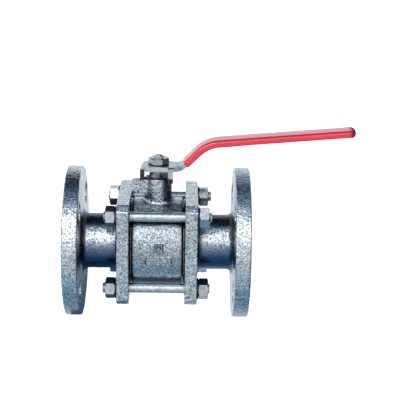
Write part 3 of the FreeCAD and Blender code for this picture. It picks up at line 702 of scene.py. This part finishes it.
def sleeve_piece():
    """Dipped grip: soft-cornered section swept along the strap, an open lip and a rounded nose."""
    path = sleeve_path()
    reach = [0.0]
    for (here, _), (there, _) in zip(path, path[1:]):
        reach.append(reach[-1] + (there - here).length)
    build = bmesh.new()
    rings = []
    for (point, slope), along in zip(path, reach):
        width, height = sleeve_size(along, reach[-1] - along)
        swell = 0.05 * MM * noise.noise(Vector((along * 60, 3.1, 0))) - 0.06 * MM
        section = sleeve_section(point, slope, width, height, swell)
        rings.append([build.verts.new(corner) for corner in section])
    for low, high in zip(rings, rings[1:]):
        bridge(build, low, high)
    build.faces.new(rings[-1])
    outer, inner = lip_rings(build, rings[0], *path[0])
    bridge(build, outer, rings[0])
    bridge(build, inner, outer)
    build.faces.new(list(reversed(inner)))
    bmesh.ops.recalc_face_normals(build, faces=build.faces)
    mesh = smooth_mesh(build, "sleeve")
    piece = new_piece("dipped_sleeve", mesh, "stem_and_lever", VINYL, ["lever_sleeve"])
    piece.visible_glossy = False


sleeve_piece()


# ---------------------------------------------------------------- camera, light and floor

def product_camera():
    """Long lens, a little above the valve and almost square to the flow axis."""
    lens_mm, distance = 104.685, 0.83409
    azimuth, elevation, roll = math.radians(-0.96), math.radians(16.54), math.radians(1.09)
    target = Vector((0.02986, 0, 0.03137))
    back = Vector((math.sin(azimuth) * math.cos(elevation), -math.cos(azimuth) * math.cos(elevation),
                   math.sin(elevation)))
    right = (-back).cross(Vector((0, 0, 1))).normalized()
    up = right.cross(-back)
    data = bpy.data.cameras.new("camera")
    data.lens = lens_mm
    camera = bpy.data.objects.new("camera", data)
    scene.collection.objects.link(camera)
    x_axis = right * math.cos(roll) + up * math.sin(roll)
    y_axis = up * math.cos(roll) - right * math.sin(roll)
    turn = Matrix((x_axis, y_axis, back)).transposed().to_4x4()
    camera.matrix_world = Matrix.Translation(target + back * distance) @ turn
    scene.camera = camera


def wrapped(graph, share, wrap):
    """A colour by the angle round the flow axis: 0 is the front horizon and 90 is straight up."""
    return graph.ramp(share, [((degrees + 180) / 360, colour) for degrees, colour in wrap])


def studio_light():
    """Soft light wrapped round the flow axis: pale behind, dark overhead, bright above the front.

    Glossy rays see the wrap, with plain gradients at both ends and a shaded band to the right.
    Diffuse rays see a softer fill from the front, and the camera sees plain white.
    """
    world = bpy.data.worlds.new("studio")
    scene.world = world
    world.use_nodes = True
    graph = Graph(world.node_tree)
    x, y, z = graph.axes(graph.node("ShaderNodeTexCoord").outputs["Generated"])
    angle = graph.math("ARCTAN2", z, graph.math("MULTIPLY", y, -1.0))
    share = graph.math("MULTIPLY_ADD", angle, 1 / math.tau, 0.5)
    glossy = wrapped(graph, share, [
        (-180, (0.95, 1.02, 1.08)), (-160, (0.85, 0.90, 0.98)), (-135, (0.55, 0.66, 0.80)),
        (-110, (0.40, 0.52, 0.66)), (-92, (0.17, 0.29, 0.40)), (-76, (0.15, 0.29, 0.43)),
        (-60, (0.28, 0.45, 0.60)), (-46, (0.44, 0.60, 0.71)), (-30, (0.54, 0.65, 0.72)),
        (-16, (0.58, 0.67, 0.71)), (4, (0.88, 0.92, 0.95)), (24, (1.5, 1.55, 1.6)),
        (38, (1.9, 1.95, 2.0)), (49, (1.6, 1.65, 1.7)), (57, (0.70, 0.80, 0.90)),
        (66, (0.34, 0.46, 0.58)), (78, (0.24, 0.36, 0.48)), (92, (0.10, 0.18, 0.26)),
        (108, (0.012, 0.030, 0.050)), (128, (0.006, 0.012, 0.022)),
        (138, (0.10, 0.13, 0.17)), (147, (0.50, 0.58, 0.64)), (155, (0.80, 0.89, 0.95)),
        (180, (0.95, 1.02, 1.08))])
    fill = wrapped(graph, share, [
        (-180, (0.5, 0.5, 0.5)), (-120, (0.7, 0.7, 0.7)), (-60, (1.4, 1.4, 1.4)), (-10, (1.7, 1.7, 1.7)),
        (25, (1.0, 1.0, 1.0)), (60, (0.60, 0.60, 0.60)), (120, (0.6, 0.6, 0.6)), (180, (0.5, 0.5, 0.5))])
    shade = graph.remap(x, 0.45, 0.72)
    shade = graph.math("MULTIPLY", shade, graph.remap(x, 0.90, 0.97, 1.0, 0.0))
    shade = graph.math("MULTIPLY", shade, graph.remap(y, 0.50, 0.62, 1.0, 0.0))
    aside = graph.remap(graph.math("ABSOLUTE", x), 0.45, 0.75)
    height = graph.math("MULTIPLY_ADD", z, 0.5, 0.5)
    sides = graph.ramp(height, [(0.0, (0.35, 0.42, 0.50)), (0.40, (0.66, 0.71, 0.76)),
                                (0.52, (0.95, 0.98, 1.0)), (0.75, (1.2, 1.22, 1.25)),
                                (1.0, (0.25, 0.30, 0.36))])
    glossy = graph.mix(aside, glossy, sides)
    rays = graph.node("ShaderNodeLightPath")
    colour = graph.mix(shade, glossy, (0.012, 0.018, 0.030))
    colour = graph.mix(rays.outputs["Is Diffuse Ray"], colour, fill)
    colour = graph.mix(rays.outputs["Is Camera Ray"], colour, (1.0, 1.0, 1.0))
    light = graph.node("ShaderNodeBackground")
    graph.link(colour, light.inputs["Color"])
    output = graph.node("ShaderNodeOutputWorld")
    graph.link(light.outputs[0], output.inputs[0])


def softbox(name, position, aim, size, power):
    data = bpy.data.lights.new(name, "AREA")
    data.shape = "RECTANGLE"
    data.size, data.size_y = size
    data.energy = power
    lamp = bpy.data.objects.new(name, data)
    scene.collection.objects.link(lamp)
    lamp.location = position
    lamp.rotation_mode = "QUATERNION"
    lamp.rotation_quaternion = (Vector(aim) - Vector(position)).to_track_quat("-Z", "Y")
    lamp.visible_camera = False


def flat_sheet(name, low, high, level, material):
    """A level rectangle of the studio between two corners."""
    mesh = bpy.data.meshes.new(name)
    mesh.from_pydata([(low[0], low[1], level), (high[0], low[1], level), (high[0], high[1], level),
                      (low[0], high[1], level)], [], [(0, 1, 2, 3)])
    mesh.materials.append(material)
    sheet = bpy.data.objects.new(name, mesh)
    scene.collection.objects.link(sheet)
    return sheet


def glowing(name, colour, roughness, glow, strength):
    """A matt material with a steady glow of its own."""
    material, _, shader, _ = surface(name, Base_Color=colour, Roughness=roughness)
    shader.inputs["Emission Color"].default_value = rgba(glow)
    shader.inputs["Emission Strength"].default_value = strength
    return material


def pale_floor():
    """A wide white floor just under the valve, which the valve doesn't reflect."""
    material = glowing("pale_floor", (0.5, 0.5, 0.5), 0.9, (1.0, 1.0, 1.0), 0.95)
    floor = flat_sheet("floor", (-6.0, -6.0), (6.0, 6.0), cad_bounds[0].z - 0.2 * MM, material)
    floor.visible_glossy = False
    floor.visible_diffuse = False


def painted_shade_card():
    """A dark card glowing faintly blue on the floor beside the left flange; only reflections see it, as
    painted shade on the flange's lower inner face.
    """
    material = glowing("painted_shade_card", (0.01, 0.02, 0.03), 1.0, (0.045, 0.10, 0.18), 1.0)
    card = flat_sheet("card", (-0.062, -0.03), (-0.020, 0.17), cad_bounds[0].z - 0.1 * MM, material)
    card.visible_camera = False
    card.visible_diffuse = False
    card.visible_shadow = False


product_camera()
studio_light()
painted_shade_card()
softbox("key", (-0.35, -0.75, 0.75), (0, 0, 0), (0.5, 0.5), 1.0)
pale_floor()
scene.view_settings.view_transform = "Standard"
